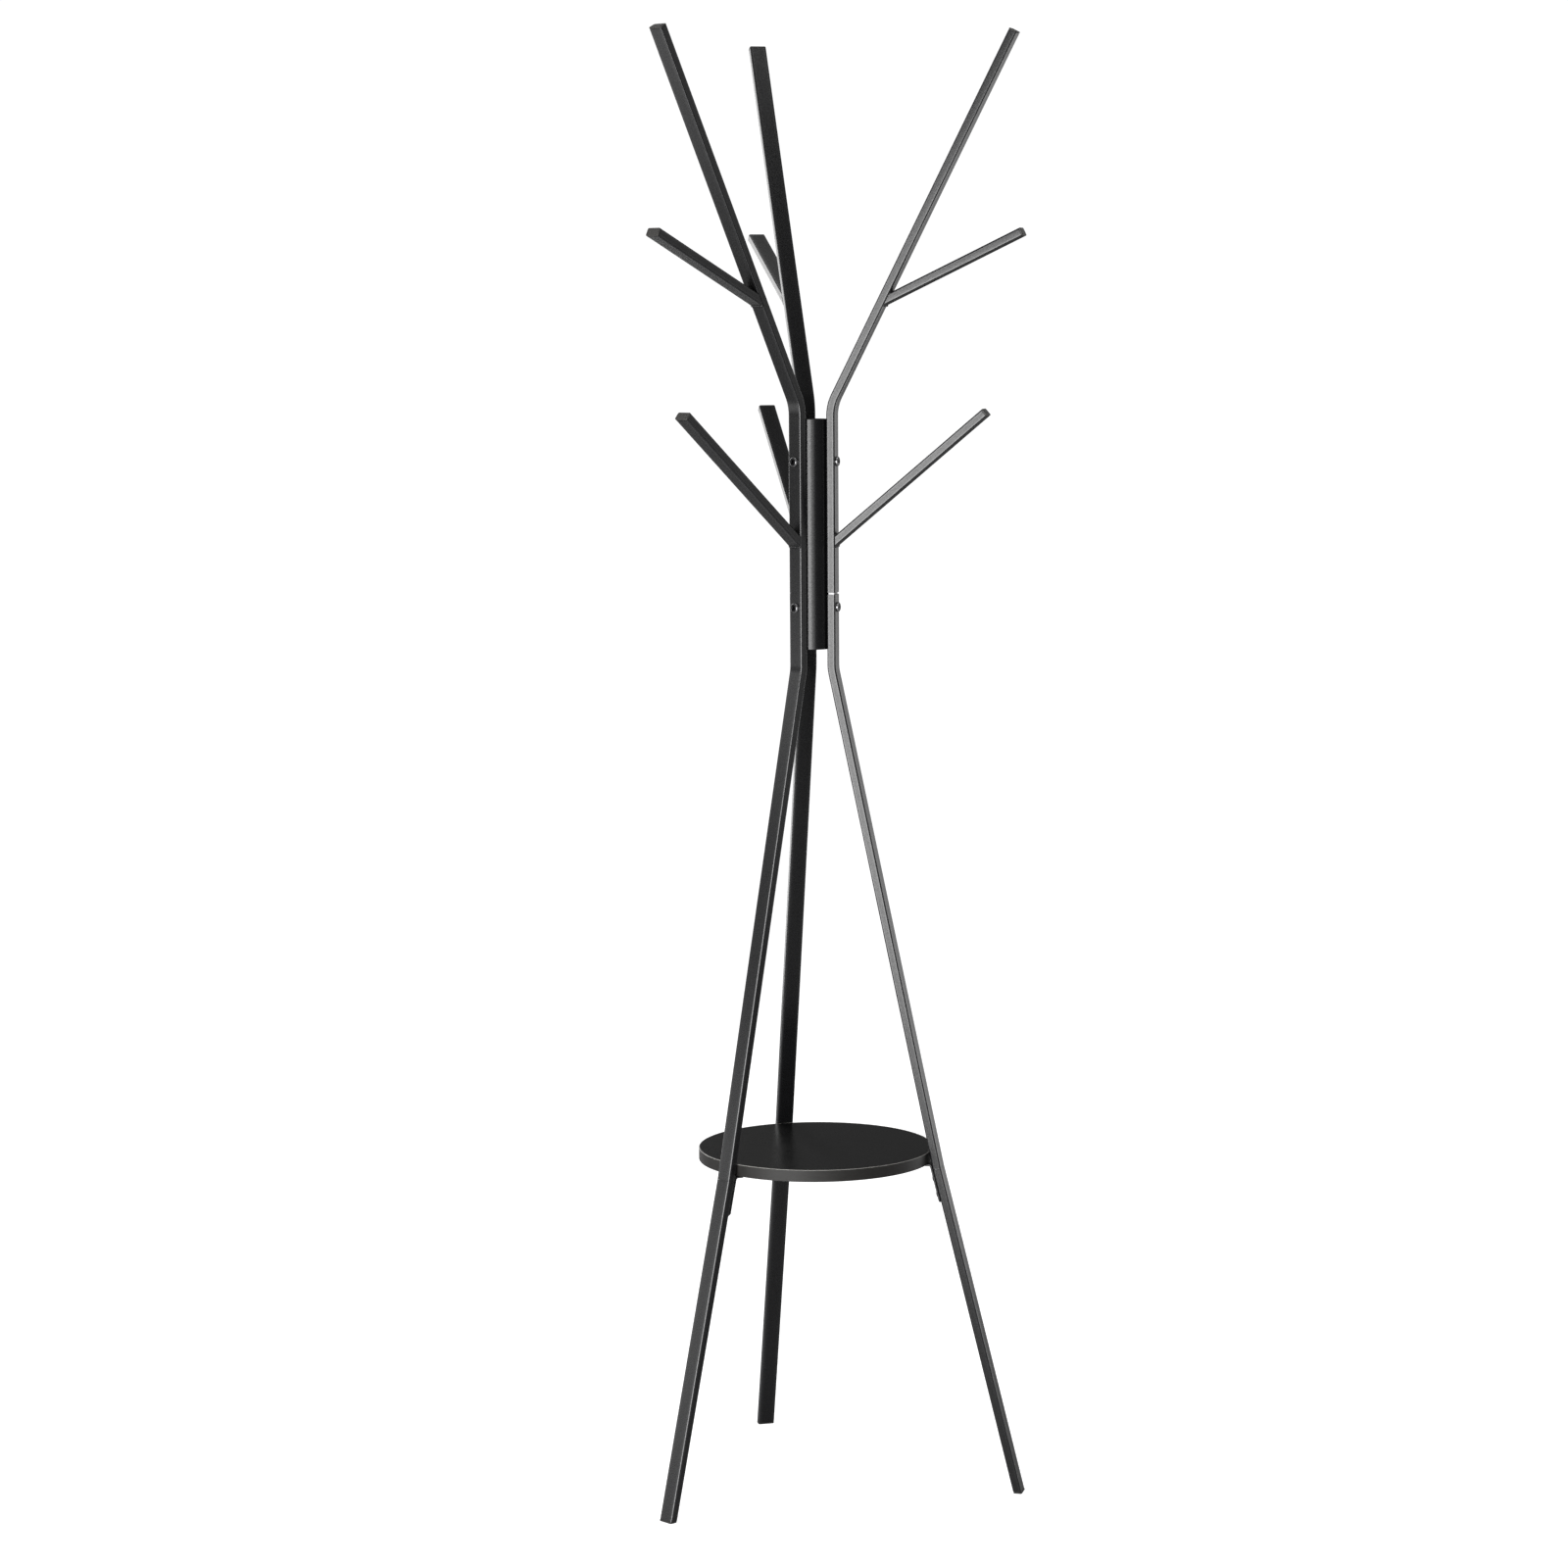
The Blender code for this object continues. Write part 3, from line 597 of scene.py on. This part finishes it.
def copies_tree():
    """Puts a copy of a part on each point: its z along 'aim', its x along 'across'."""
    tree = bpy.data.node_groups.new("set_in_place", "GeometryNodeTree")
    inputs = {"Geometry": socket_of(tree, "Geometry", "Geometry"),
              "Part": socket_of(tree, "Part", "Object"),
              "Turn": socket_of(tree, "Turn", "Float", 0.0),
              "Seed": socket_of(tree, "Seed", "Int", 11),
              "Finish": socket_of(tree, "Finish", "Material")}
    tree.interface.new_socket(name="Geometry", in_out="OUTPUT", socket_type="NodeSocketGeometry")
    bench = Bench(tree)
    bench.put("NodeGroupInput")
    given = {s.name: Wire(bench, s) for s in bench.node.outputs if s.name}
    part = bench.put("GeometryNodeObjectInfo", {"transform_space": "ORIGINAL"},
                     {"Object": given["Part"], "As Instance": True}, out="Geometry")
    named = {name: bench.put("GeometryNodeInputNamedAttribute", {"data_type": "FLOAT_VECTOR"},
                             {"Name": name}) for name in ("aim", "across")}
    facing = bench.put("FunctionNodeAxesToRotation", {"primary_axis": "Z", "secondary_axis": "X"},
                       {"Primary Axis": named["aim"], "Secondary Axis": named["across"]})
    angle = bench.put("FunctionNodeRandomValue", {"data_type": "FLOAT"},
                      {2: 0.0, 3: given["Turn"], "Seed": given["Seed"]}, out=1)
    spin = bench.put("FunctionNodeAxisAngleToRotation", {},
                     {"Axis": (0.0, 0.0, 1.0), "Angle": angle})
    facing = bench.put("FunctionNodeRotateRotation", {"rotation_space": "LOCAL"},
                       {0: facing, 1: spin})
    copies = bench.put("GeometryNodeInstanceOnPoints", {},
                       {"Points": given["Geometry"], "Instance": part, "Rotation": facing})
    copies = bench.put("GeometryNodeRealizeInstances", {}, {"Geometry": copies})
    copies = bench.put("GeometryNodeSetMaterial", {},
                       {"Geometry": copies, "Material": given["Finish"]})
    bench.put("NodeGroupOutput", {}, {"Geometry": copies})
    return tree, inputs


COPIES = copies_tree()


def set_in_place(name, part_mesh, spots, mat, cad_nodes, turn=0.0, seed=11):
    """One piece made of a copy of a part at each spot: (arm, x, z, aim as (x, z))."""
    part_mesh.shade_smooth()
    part = placed(name + "_part", part_mesh)
    base = bpy.data.meshes.new(name)
    where, aims, across = [], [], []
    for arm, x, z, aim in spots:
        matrix = arm_matrix(arm)
        where.append(matrix @ Vector((x, 0.0, z)))
        aims.extend(matrix.to_3x3() @ Vector((aim[0], 0.0, aim[1])))
        across.extend(matrix.to_3x3() @ Vector((0.0, 1.0, 0.0)))
    base.from_pydata(where, [], [])
    for key, values in (("aim", aims), ("across", across)):
        base.attributes.new(key, "FLOAT_VECTOR", "POINT").data.foreach_set("vector", values)
    mesh = grown(name, base, COPIES, Part=part, Turn=turn, Seed=seed, Finish=mat)
    bpy.data.objects.remove(part, do_unlink=True)
    fit(name, mesh, mat, cad_nodes)


tips = {"branch": (branch_x(BRANCH_TOP_Z), BRANCH_TOP_Z, BRANCH_LEAN)}
for level, (z, lean, length, base) in HOOKS.items():
    x = hook_x(z, base)
    tips[level + "_hook"] = (x + length * math.sin(lean), z + length * math.cos(lean), lean)
for kind, (x, z, lean) in tips.items():
    spots = [(arm, x, z, (math.sin(lean), math.cos(lean))) for arm in ARMS]
    set_in_place(kind + "_end_plugs", plug_mesh(kind, BAR_D, GAP, 0.0, STUB), spots, PLASTIC,
                 [f"{kind}_plug_{arm}" for arm in ARMS])

# ---- Foot plugs ------------------------------------------------------------------------------
# The same moulding for the feet, its flange slanted to the stub so that it lies flat on the floor.
FOOT_STUB = 16.0 * MM

foot = plug_mesh("foot", BAR_D / math.cos(FOOT_LEAN), -FLANGE, -FOOT_LEAN, FOOT_STUB)
spots = [(arm, leg_x(0.0), 0.0, (0.0, -1.0)) for arm in ARMS]
set_in_place("feet", foot, spots, PLASTIC, ["foot_plug_" + arm for arm in ARMS])

# ---- Shelf -----------------------------------------------------------------------------------
# A round of 14 mm board faced on both sides with satin black melamine. It rests on the three
# brackets and is screwed down from below.
SHELF_TOP = 404.0 * MM
SHELF_UNDER = 390.0 * MM
SHELF_R = 138.5 * MM
BAND_THICK = 1.1 * MM
BOARD_EDGE = 0.3 * MM
BAND_EDGE = 0.5 * MM
AROUND = 192


def melamine():
    """Black melamine face: fine pressed grain, faint handling marks and a little dust."""
    bench, place, shader = finish_bench("shelf_board")
    grain = noise(bench, place, 700.0, 3.0)
    rub = noise(bench, place, 24.0, 4.0).over(0.45, 0.8)
    dust = bench.put("ShaderNodeTexVoronoi", {"feature": "F1"},
                     {"Vector": place, "Scale": 60.0, "Randomness": 1.0})
    dust = (1.0 - dust.over(0.02, 0.05)) * (noise(bench, place, 23.0, 0.0) > 0.60)
    colour = tint(bench, grain.over(0.35, 0.75) * 0.5 + rub * 0.15 + dust * 0.9,
                  (0.0010, 0.0010, 0.0011), (0.014, 0.0139, 0.0134))
    bump = bench.put("ShaderNodeBump", {}, {
        "Strength": 0.25, "Distance": 0.0002, "Height": grain + dust * 0.6})
    return shader({"Base Color": colour, "Normal": bump, "Specular IOR Level": 0.2,
                   "Roughness": 0.22 + grain * 0.14 + rub * 0.05})


outline = [(0.5 * MM, SHELF_UNDER)]
board_r = SHELF_R - BAND_THICK - GAP
for z, start in ((SHELF_UNDER + BOARD_EDGE, -90), (SHELF_TOP - BOARD_EDGE, 0)):
    for i in range(4):
        a = math.radians(start + 90 * i / 3)
        outline.append((board_r - BOARD_EDGE + BOARD_EDGE * math.cos(a),
                        z + BOARD_EDGE * math.sin(a)))
outline.append((0.5 * MM, SHELF_TOP))
mesh = skin("shelf", [circle(r, z, AROUND) for r, z in outline], "caps")
mesh.transform(Matrix.Translation((0.0, AXIS_Y, 0.0)))
fit("shelf_panel", mesh, melamine(), ["shelf_board"])

# ---- Edge band -------------------------------------------------------------------------------
# A plastic strip glued round the board and trimmed flush, its two corners scraped round. It is a
# little browner and duller than the board's face; a pale highlight is painted on its top corner,
# where its rounding catches the light.


def banding():
    """Dark strip with fine marks along its length from the trimming; a painted highlight on its
    top corners.
    """
    bench, place, shader = finish_bench("shelf_edge_band")
    layers = bench.put("ShaderNodeMapping", {}, {"Vector": place, "Scale": (1.0, 1.0, 9.0)})
    drawn = noise(bench, layers, 160.0, 3.0)
    cloud = noise(bench, place, 22.0, 3.0)
    corner = bench.put("ShaderNodeAttribute", {"attribute_name": "edge"}, out="Fac")
    # The top corners ('edge') are painted near white: a painted highlight where the band's
    # rounding catches the light.
    colour = tint(bench, drawn * 0.03 + cloud * 0.03 + corner * 0.94,
                  (0.0080, 0.0074, 0.0068), (0.40, 0.39, 0.37))
    bump = bench.put("ShaderNodeBump", {}, {"Strength": 0.2, "Distance": 0.0002, "Height": drawn})
    return shader({"Base Color": colour, "Normal": bump, "Specular IOR Level": 0.35,
                   "Roughness": 0.40 + drawn * 0.14 - corner * 0.12})


outline = rounded_wall(SHELF_R, SHELF_R - BAND_THICK, SHELF_UNDER, SHELF_TOP, BAND_EDGE, 4)
mesh = skin("edge_band", [circle(r, z, AROUND) for r, z in outline], "loop")
mesh.transform(Matrix.Translation((0.0, AXIS_Y, 0.0)))
middle = (SHELF_UNDER + SHELF_TOP) / 2
# 'edge' is 1 on the band's top corners, where the painted highlight goes.
edges = [1.0 if i % 5 in (1, 2, 3) and outline[i][1] > middle else 0.0
         for i in range(len(outline)) for _ in range(AROUND)]
mesh.attributes.new("edge", "FLOAT", "POINT").data.foreach_set("value", edges)
fit("shelf_banding", mesh, banding(), ["shelf_edge_band"])

# ---- Shelf brackets --------------------------------------------------------------------------
# Steel strip, 20 x 2 mm, with clipped corners, bent once: one tab lies under the board, the
# other runs down the inner face of the lower leg. Powder coated like the tubes.
STRIP_W = 20.0 * MM
STRIP_THICK = 2.0 * MM
STRIP_TAB_X = 111.0 * MM
STRIP_FOOT_Z = 345.0 * MM
STRIP_BEND = 3.0 * MM
STRIP_CLIP = 3.0 * MM
tab_z = SHELF_UNDER - GAP - STRIP_THICK / 2
strip_off = (BAR_D / 2 + GAP + STRIP_THICK / 2) / math.cos(FOOT_LEAN)


def strip_x(z):
    return leg_x(KNEE_Z) + (KNEE_Z - z) * math.tan(FOOT_LEAN) - strip_off


turn = math.pi / 2 - FOOT_LEAN
back = STRIP_BEND * math.tan(turn / 2)
line = [(STRIP_TAB_X, tab_z)]
for i in range(13):
    a = turn * i / 12
    line.append((strip_x(tab_z) - back + STRIP_BEND * math.sin(a),
                 tab_z - STRIP_BEND * (1 - math.cos(a))))
line.append((strip_x(STRIP_FOOT_Z), STRIP_FOOT_Z))
for arm in ARMS:
    matrix = arm_matrix(arm)
    path = line_mesh("strip", [(x, 0.0, z) for x, z in line], matrix)
    mesh = grown("strip", path, FLAT_TUBE, Across=matrix.to_3x3() @ Vector((0.0, 1.0, 0.0)),
                 Width=STRIP_W, Depth=STRIP_THICK, Corner=0.35 * MM, Corner_Steps=2,
                 Closed_Ends=True, Finish=POWDER)
    bm = bmesh.new()
    bm.from_mesh(mesh)
    bmesh.ops.recalc_face_normals(bm, faces=bm.faces)
    for near, end in ((line[1], line[0]), (line[-2], line[-1])):
        away = Vector((end[0] - near[0], 0.0, end[1] - near[1])).normalized()
        for side in (-1.0, 1.0):
            corner = Vector((end[0], side * STRIP_W / 2, end[1])) - away * STRIP_CLIP
            normal = (away + Vector((0.0, side, 0.0))).normalized()
            cut = bmesh.ops.bisect_plane(
                bm, geom=bm.verts[:] + bm.edges[:] + bm.faces[:], dist=1e-7,
                plane_co=matrix @ corner, plane_no=matrix.to_3x3() @ normal, clear_outer=True)
            rim = [g for g in cut["geom_cut"] if isinstance(g, bmesh.types.BMEdge)]
            bmesh.ops.contextual_create(bm, geom=rim)
    bmesh.ops.recalc_face_normals(bm, faces=bm.faces)
    bm.to_mesh(mesh)
    bm.free()
    fit("bracket_strip_" + arm, mesh, POWDER, ["shelf_bracket_" + arm])

# ---- Arm bolts -------------------------------------------------------------------------------
# M6 button-head socket screws, black oxide, one through each branch and one through each upper
# leg into a nut inside the centre tube. Each head ends up turned its own way.
BOLT_Z = {"branch": 1212.0 * MM, "leg": 1043.0 * MM}
BOLT_HEAD_R = 5.7 * MM
BOLT_HEAD_H = 3.0 * MM
BOLT_SHANK_R = 2.85 * MM
BOLT_TIP_X = 10.5 * MM
SOCKET_FLAT = 2.0 * MM
SOCKET_DEPTH = 2.0 * MM


def blackened():
    """Oiled black oxide on steel: dark in the socket; pale round the head's flank, a painted
    highlight with rubbed spots.
    """
    bench, place, shader = finish_bench("blackened_steel")
    mottle = noise(bench, place, 420.0, 3.0)
    flank = bench.put("ShaderNodeAttribute", {"attribute_name": "edge"}, out="Fac")
    rubbed = noise(bench, place, 160.0, 2.0).over(0.50, 0.70) * 0.4
    # The flank ('edge') is painted pale metal: a painted highlight ring for the glints on the
    # head's rim, brighter in the rubbed spots.
    colour = tint(bench, (mottle * 0.3 + rubbed + 0.5) * flank, (0.012, 0.012, 0.013),
                  (0.62, 0.62, 0.63))
    bump = bench.put("ShaderNodeBump", {}, {"Strength": 0.2, "Distance": 0.0001, "Height": mottle})
    return shader({"Base Color": colour, "Metallic": 0.9, "Normal": bump,
                   "Roughness": 0.20 + mottle * 0.14})


BLACKENED = blackened()


def hexagon(flat, z, sides):
    """Hexagon with the same number of points as the head's circles."""
    ring = []
    for i in range(sides):
        a = 2 * math.pi * i / sides
        r = flat / math.cos((a + math.pi / 6) % (math.pi / 3) - math.pi / 6)
        ring.append((r * math.cos(a), r * math.sin(a), z))
    return ring


def mark_flank(mesh, shank_r, head_h, amount):
    """Sets 'edge', where the pale highlight is painted, on a screw head's flank; its top, recess
    and shank stay at 0.
    """
    flanks = [amount * max(0.0, min(1.0, (head_h - 0.25 * MM - v.co.z) / (0.5 * MM)))
              if v.co.xy.length > shank_r + 0.05 * MM else 0.0 for v in mesh.vertices]
    mesh.attributes.new("edge", "FLOAT", "POINT").data.foreach_set("value", flanks)
    return mesh


def button_bolt(shank):
    sides = 48
    rings = [circle(0.3 * MM, -shank, sides), circle(BOLT_SHANK_R - 0.5 * MM, -shank, sides)]
    rings.append(circle(BOLT_SHANK_R, -shank + 0.5 * MM, sides))
    rings.append(circle(BOLT_SHANK_R, 0.0, sides))
    for i in range(4):
        a = math.radians(-90 + 30 * i)
        rings.append(circle(BOLT_HEAD_R - 0.3 * MM + 0.3 * MM * math.cos(a),
                            0.3 * MM + 0.3 * MM * math.sin(a), sides))
    for i in range(1, 10):
        a = math.radians(10 * i)
        rings.append(circle(3.15 * MM + (BOLT_HEAD_R - 3.15 * MM) * math.cos(a) ** 0.9,
                            0.55 * MM + (BOLT_HEAD_H - 0.55 * MM) * math.sin(a), sides))
    rings.append(circle(2.75 * MM, BOLT_HEAD_H, sides))
    rings.append(circle(2.62 * MM, BOLT_HEAD_H - 0.06 * MM, sides))
    rings.append(hexagon(SOCKET_FLAT, BOLT_HEAD_H - 0.45 * MM, sides))
    rings.append(hexagon(SOCKET_FLAT, BOLT_HEAD_H - SOCKET_DEPTH, sides))
    rings.append(circle(0.3 * MM, BOLT_HEAD_H - SOCKET_DEPTH - 0.25 * MM, sides))
    return mark_flank(skin("bolt", rings, "caps"), BOLT_SHANK_R, BOLT_HEAD_H, 1.0)


seat_x = BAR_X + BAR_D / 2 + GAP
for number, (kind, z) in enumerate(BOLT_Z.items()):
    spots = [(arm, seat_x, z, (1.0, 0.0)) for arm in ARMS]
    set_in_place(kind + "_button_bolts", button_bolt(seat_x - BOLT_TIP_X), spots, BLACKENED,
                 [f"{kind}_bolt_{arm}" for arm in ARMS], turn=1.0,
                 seed=5 + number)

# ---- Bracket screws --------------------------------------------------------------------------
# Black pan-head screws with a cross recess: two hold each bracket to its leg from the inside,
# one goes up through the tab into the board.
SCREW_HEAD_R = 4.0 * MM
SCREW_HEAD_H = 2.4 * MM
SCREW_SHANK_R = 1.9 * MM
LEG_SCREW_Z = {"top": 373.5 * MM, "bottom": 355.0 * MM}
LEG_SCREW_LENGTH = 10.4 * MM
SHELF_SCREW_X = 125.0 * MM
SHELF_SCREW_LENGTH = 12.5 * MM


def cross(reach, half, z, sides):
    """Outline of a cross recess with the same number of points as the head's circles."""
    ring = []
    for i in range(sides):
        a = 2 * math.pi * i / sides
        c, s = max(abs(math.cos(a)), 1e-6), max(abs(math.sin(a)), 1e-6)
        r = max(min(reach / c, half / s), min(reach / s, half / c))
        ring.append((r * math.cos(a), r * math.sin(a), z))
    return ring


def pan_screw(length):
    sides = 72
    rings = [circle(0.2 * MM, -length, sides), circle(SCREW_SHANK_R, 2 * MM - length, sides)]
    rings.append(circle(SCREW_SHANK_R, 0.0, sides))
    for i in range(4):
        a = math.radians(-90 + 30 * i)
        rings.append(circle(SCREW_HEAD_R - 0.25 * MM + 0.25 * MM * math.cos(a),
                            0.25 * MM + 0.25 * MM * math.sin(a), sides))
    for i in range(1, 9):
        a = math.radians(10 * i)
        rings.append(circle(2.3 * MM + 1.7 * MM * math.cos(a),
                            0.7 * MM + (SCREW_HEAD_H - 0.7 * MM) * math.sin(a), sides))
    rings.append(circle(2.25 * MM, SCREW_HEAD_H, sides))
    rings.append(cross(1.9 * MM, 0.45 * MM, SCREW_HEAD_H - 0.05 * MM, sides))
    rings.append(cross(1.2 * MM, 0.32 * MM, SCREW_HEAD_H - 1.5 * MM, sides))
    rings.append(circle(0.12 * MM, SCREW_HEAD_H - 1.7 * MM, sides))
    return mark_flank(skin("screw", rings, "caps"), SCREW_SHANK_R, SCREW_HEAD_H, 0.5)


seat_off = BAR_D / 2 + STRIP_THICK + 2 * GAP
inward = (-math.cos(FOOT_LEAN), -math.sin(FOOT_LEAN))
spots = [(arm, leg_x(z) + seat_off * inward[0], z + seat_off * inward[1], inward)
         for arm in ARMS for z in LEG_SCREW_Z.values()]
set_in_place("leg_pan_screws", pan_screw(LEG_SCREW_LENGTH), spots, BLACKENED,
             [f"bracket_leg_screw_{arm}_{place}" for arm in ARMS for place in LEG_SCREW_Z],
             turn=1.5, seed=21)
spots = [(arm, SHELF_SCREW_X, tab_z - STRIP_THICK / 2 - GAP, (0.0, -1.0)) for arm in ARMS]
set_in_place("shelf_pan_screws", pan_screw(SHELF_SCREW_LENGTH), spots, BLACKENED,
             ["bracket_shelf_screw_" + arm for arm in ARMS], turn=1.5,
             seed=33)

# ---- Floor -----------------------------------------------------------------------------------
# A plain white studio sweep that the stand is set on.
floor_mat = bpy.data.materials.new("studio_floor")
floor_mat.use_nodes = True
floor_mat.node_tree.nodes.clear()
bench = Bench(floor_mat.node_tree)
plain = bench.put("ShaderNodeBsdfDiffuse", {}, {"Color": (0.40, 0.40, 0.40, 1.0)})
pale = bench.put("ShaderNodeEmission", {}, {"Color": (1.0, 1.0, 1.0, 1.0), "Strength": 1.05})
pale = bench.put("ShaderNodeAddShader", {}, {0: plain, 1: pale})
seen = bench.put("ShaderNodeLightPath", {}, {}, out="Is Camera Ray")
mixed = bench.put("ShaderNodeMixShader", {}, {0: seen, 1: plain, 2: pale})
bench.put("ShaderNodeOutputMaterial", {}, {"Surface": mixed})
floor_mesh = skin("floor", [circle(r, z, 96) for r, z in (
    (0.01, 0.0), (14.0, 0.0), (14.0, -0.02), (0.01, -0.02))], "caps")
floor_mesh.materials.append(floor_mat)
floor = placed("floor", floor_mesh)
floor.location.z = -0.0003

# ---- Camera and studio light -----------------------------------------------------------------
# A bright softbox in front to the left, weaker panels at both sides, behind and overhead, and dim
# surroundings, so that the black tubes show one bright side, dark sides and pale outlines.
CAMERA_TURN = math.radians(15.383)
CAMERA_AWAY = 4.6548
CAMERA_HIGH = 1.38417


def studio_spot(turn, away, high):
    """Point round the stand: turn in degrees to the right of the camera's own side."""
    a = math.radians(turn) - CAMERA_TURN
    return Vector((math.sin(a) * away, AXIS_Y - math.cos(a) * away, high))


heading, pitch, roll = math.radians(14.952), math.radians(6.728), math.radians(-0.364)
forward = Vector((math.sin(heading) * math.cos(pitch), math.cos(heading) * math.cos(pitch),
                  -math.sin(pitch)))
level = Vector((math.cos(heading), -math.sin(heading), 0.0))
over = level.cross(forward)
right = level * math.cos(roll) + over * math.sin(roll)
top = over * math.cos(roll) - level * math.sin(roll)
camera_data = bpy.data.cameras.new("camera")
camera_data.sensor_width = 36.0
camera_data.lens = 91.862
camera_data.clip_end = 60.0
camera = placed("camera", camera_data)
camera.matrix_world = Matrix.Translation(studio_spot(0.0, CAMERA_AWAY, CAMERA_HIGH)) @ Matrix(
    (right, top, -forward)).transposed().to_4x4()
bpy.context.scene.camera = camera


def soft_panel(name, turn, away, high, size, radiance, aim_high):
    """Rectangular soft light of a given brightness, aimed at the stand's axis."""
    data = bpy.data.lights.new(name, "AREA")
    data.shape = "RECTANGLE"
    data.size, data.size_y = size
    data.energy = radiance * size[0] * size[1] * math.pi
    lamp = placed(name, data)
    lamp.location = studio_spot(turn, away, high)
    aim = Vector((0.0, AXIS_Y, aim_high)) - lamp.location
    lamp.rotation_euler = aim.to_track_quat("-Z", "Y").to_euler()
    lamp.visible_camera = False


soft_panel("front_softbox", -30.0, 2.4, 0.82, (1.75, 1.5), 8.6, 0.82)
soft_panel("left_rim", -150.0, 2.8, 1.7, (1.7, 3.2), 2.3, 1.5)
soft_panel("right_rim", 143.0, 2.8, 1.5, (1.2, 3.0), 0.75, 1.5)
soft_panel("left_panel", -92.0, 2.6, 2.10, (1.6, 1.5), 1.55, 1.4)
soft_panel("left_low", -92.0, 2.6, 0.44, (1.6, 0.8), 1.4, 0.9)
soft_panel("right_panel", 94.0, 2.6, 1.3, (1.4, 2.0), 0.55, 1.2)
soft_panel("right_low", 116.0, 2.3, 0.36, (1.1, 0.7), 3.0, 0.3)
soft_panel("front_fill", 0.0, 3.0, 1.0, (1.2, 1.8), 2.2, 0.9)
soft_panel("overhead", 0.0, 0.4, 3.6, (2.0, 0.5), 3.0, 0.9)
soft_panel("overhead_back", 180.0, 1.3, 3.2, (1.6, 0.6), 0.6, 1.4)

world = bpy.data.worlds.new("studio")
bpy.context.scene.world = world
world.use_nodes = True
world.node_tree.nodes.clear()
bench = Bench(world.node_tree)
seen = bench.put("ShaderNodeLightPath", {}, {}, out="Is Camera Ray")
dim = bench.put("ShaderNodeBackground", {}, {"Color": (1.0, 1.0, 1.0, 1.0), "Strength": 0.10})
pale = bench.put("ShaderNodeBackground", {}, {"Color": (1.0, 1.0, 1.0, 1.0), "Strength": 1.05})
mixed = bench.put("ShaderNodeMixShader", {}, {0: seen, 1: dim, 2: pale})
bench.put("ShaderNodeOutputWorld", {}, {"Surface": mixed})
bpy.context.scene.view_settings.view_transform = "Standard"
